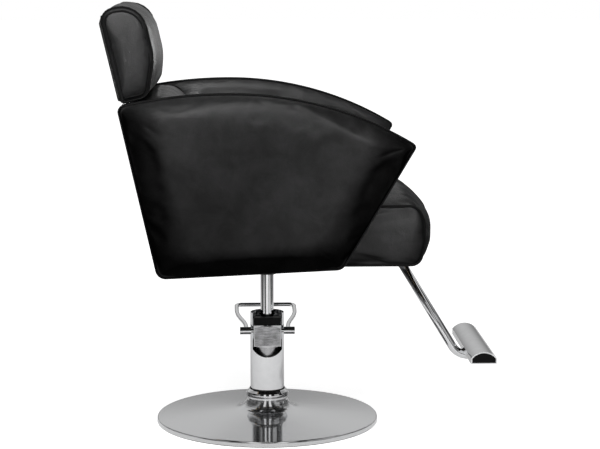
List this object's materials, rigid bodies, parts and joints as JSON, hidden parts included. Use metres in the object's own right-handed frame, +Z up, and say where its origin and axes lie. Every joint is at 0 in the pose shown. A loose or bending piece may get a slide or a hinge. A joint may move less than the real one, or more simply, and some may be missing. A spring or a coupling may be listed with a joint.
{
  "type": "hairdressing_chair",
  "caption": "Salon styling chair: padded seat between tall curved side panels, boxed headrest, round chrome base with pump lift, foot lever, swivel and a tubular footrest.",
  "frame": {"origin": "on the floor, on the vertical axis of the lift; the sitter faces +X", "axes": "+X forward, +Y to the sitter's left, +Z up"},
  "size_m": [0.855, 0.62, 0.945],
  "materials": {
    "chrome": "polished",
    "steel": "machined",
    "black_steel": "satin black",
    "fastener": "zinc plated",
    "brass": "machined",
    "rubber": "matte",
    "black_plastic": "satin",
    "plywood": "raw",
    "leatherette": "satin grained",
    "cushion_cover": "satin grained leatherette, a coated cloth, over foam"
  },
  "bodies": {
    "base": {"base_trim_ring": "rubber", "base_disc": "chrome", "base_plate": "steel", "flange_nuts": "fastener", "flange_bolts": "fastener", "pump_flange": "steel", "collar_ring": "chrome", "collar_seal": "rubber", "pump_shroud": "chrome", "pump_reservoir": "steel", "barrel_cap": "brass", "pump_barrel": "steel", "pump_head": "steel", "head_face_plate": "chrome", "head_cap": "black_plastic", "rod_bush": "brass", "gland_ring": "steel", "rod_wiper": "rubber", "plunger_spring": "fastener"},
    "lift": {"piston": "steel", "piston_seal": "rubber", "thrust_washer": "brass"},
    "seat": {"piston_rod": "chrome", "seat_socket": "black_steel", "seat_plate": "black_steel", "seat_plate_bolts": "fastener", "seat_board": "plywood", "seat_cushion": "cushion_cover", "back_board": "plywood", "back_panel": "leatherette", "lumbar_cushion": "cushion_cover", "headrest_straps": "steel", "strap_screws": "fastener", "headrest_board": "plywood", "headrest_panel": "leatherette", "headrest_cushion": "cushion_cover", "arm_board_right": "plywood", "arm_board_left": "plywood", "arm_outer_pad_right": "cushion_cover", "arm_outer_pad_left": "cushion_cover", "arm_inner_pad_right": "cushion_cover", "arm_inner_pad_left": "cushion_cover", "arm_edge_band_right": "leatherette", "arm_edge_band_left": "leatherette", "arm_brackets": "black_steel", "back_brackets": "black_steel", "bracket_screws": "fastener", "footrest_socket": "black_steel", "footrest_socket_screws": "fastener", "footrest_tube": "chrome", "footrest_saddle": "black_steel", "footrest_bolts": "fastener", "footrest_bar": "chrome", "footrest_caps": "black_plastic"},
    "lever": {"lever_axle": "chrome", "lever_cam": "steel", "lever_collars": "chrome", "lever_loop": "chrome"},
    "plunger": {"plunger": "fastener"}
  },
  "joints": [
    {"name": "lift", "type": "slide", "parent": "base", "child": "lift", "axis": [0, 0, 1], "range_m": [-0.055, 0.06]},
    {"name": "swivel", "type": "hinge", "parent": "lift", "child": "seat", "pos_m": [0, 0, 0.4], "axis": [0, 0, 1], "continuous": true},
    {"name": "lever", "type": "hinge", "parent": "base", "child": "lever", "pos_m": [0, -0.024, 0.21049], "axis": [1, 0, 0], "range_deg": [-22, 0], "stiffness_Nm_per_rad": 6, "springref_deg": 8.59},
    {"name": "plunger", "type": "slide", "parent": "base", "child": "plunger", "axis": [0, 0, 1], "range_m": [0, 0.003], "deforming": ["plunger_spring"]}
  ],
  "couplings": [
    {"joint": "plunger", "follows": "lever", "m_per_rad": -0.0078}
  ]
}
